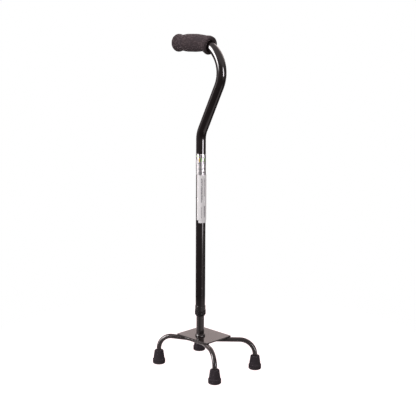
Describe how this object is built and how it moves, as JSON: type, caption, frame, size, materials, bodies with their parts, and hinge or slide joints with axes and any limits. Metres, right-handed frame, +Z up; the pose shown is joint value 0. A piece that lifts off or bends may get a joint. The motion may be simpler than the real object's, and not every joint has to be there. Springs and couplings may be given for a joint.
{
  "type": "quad walking cane",
  "caption": "Height-adjustable walking cane: swan-neck handle tube with foam grip, locking collar and snap button over a post on a plate with splayed rubber-tipped legs.",
  "frame": {"origin": "on the floor, at the centre of the footprint of the rubber tips", "axes": "+Z up along the shaft; -X the way the closed end of the handle points, +X the side to which the swan neck bows out; -Y the side of the post and of the straighter pair of legs"},
  "size_m": [0.2146, 0.164, 0.7709],
  "materials": {
    "grip_foam": "matte closed-cell foam",
    "black_plastic": "matte",
    "tube_paint": "gloss black powder coat on aluminium",
    "foil": "silver foil",
    "paper": "coated paper",
    "gloss_collar": "gloss",
    "post_paint": "gloss black",
    "white_plastic": "satin",
    "bright_steel": "bright",
    "plate_paint": "gloss black",
    "leg_paint": "gloss black",
    "tip_rubber": "matte"
  },
  "bodies": {
    "base": {"base_plate": "plate_paint", "near_leg_tube": "leg_paint", "far_leg_tube": "leg_paint", "post_weld": "leg_paint", "leg_welds": "leg_paint", "inner_tube": "post_paint", "guide_bush": "white_plastic", "button_spring": "bright_steel", "tip_near_left": "tip_rubber", "tip_near_right": "tip_rubber", "tip_far_left": "tip_rubber", "tip_far_right": "tip_rubber", "tip_disc_near_left": "bright_steel", "tip_disc_near_right": "bright_steel", "tip_disc_far_left": "bright_steel", "tip_disc_far_right": "bright_steel"},
    "handle": {"upper_tube": "tube_paint", "foam_grip": "grip_foam", "handle_end_plug": "black_plastic", "collar_bush": "gloss_collar", "foil_label": "foil", "paper_label": "paper", "under_label": "paper"},
    "lock_nut": {"lock_ring": "black_plastic"},
    "button": {"snap_button": "bright_steel"}
  },
  "joints": [
    {"name": "height_adjust", "type": "slide", "parent": "base", "child": "handle", "axis": [0, 0, 1], "range_m": [0, 0.2286]},
    {"name": "lock_ring_turn", "type": "hinge", "parent": "handle", "child": "lock_nut", "pos_m": [0, -0.0215, 0.136], "axis": [0, 0, -1], "range_deg": [0, 180]},
    {"name": "button_press", "type": "slide", "parent": "base", "child": "button", "axis": [1, 0, 0], "range_m": [0, 0.0043], "stiffness_N_per_m": 2000, "springref_m": -0.002, "deforming": ["button_spring"]}
  ]
}
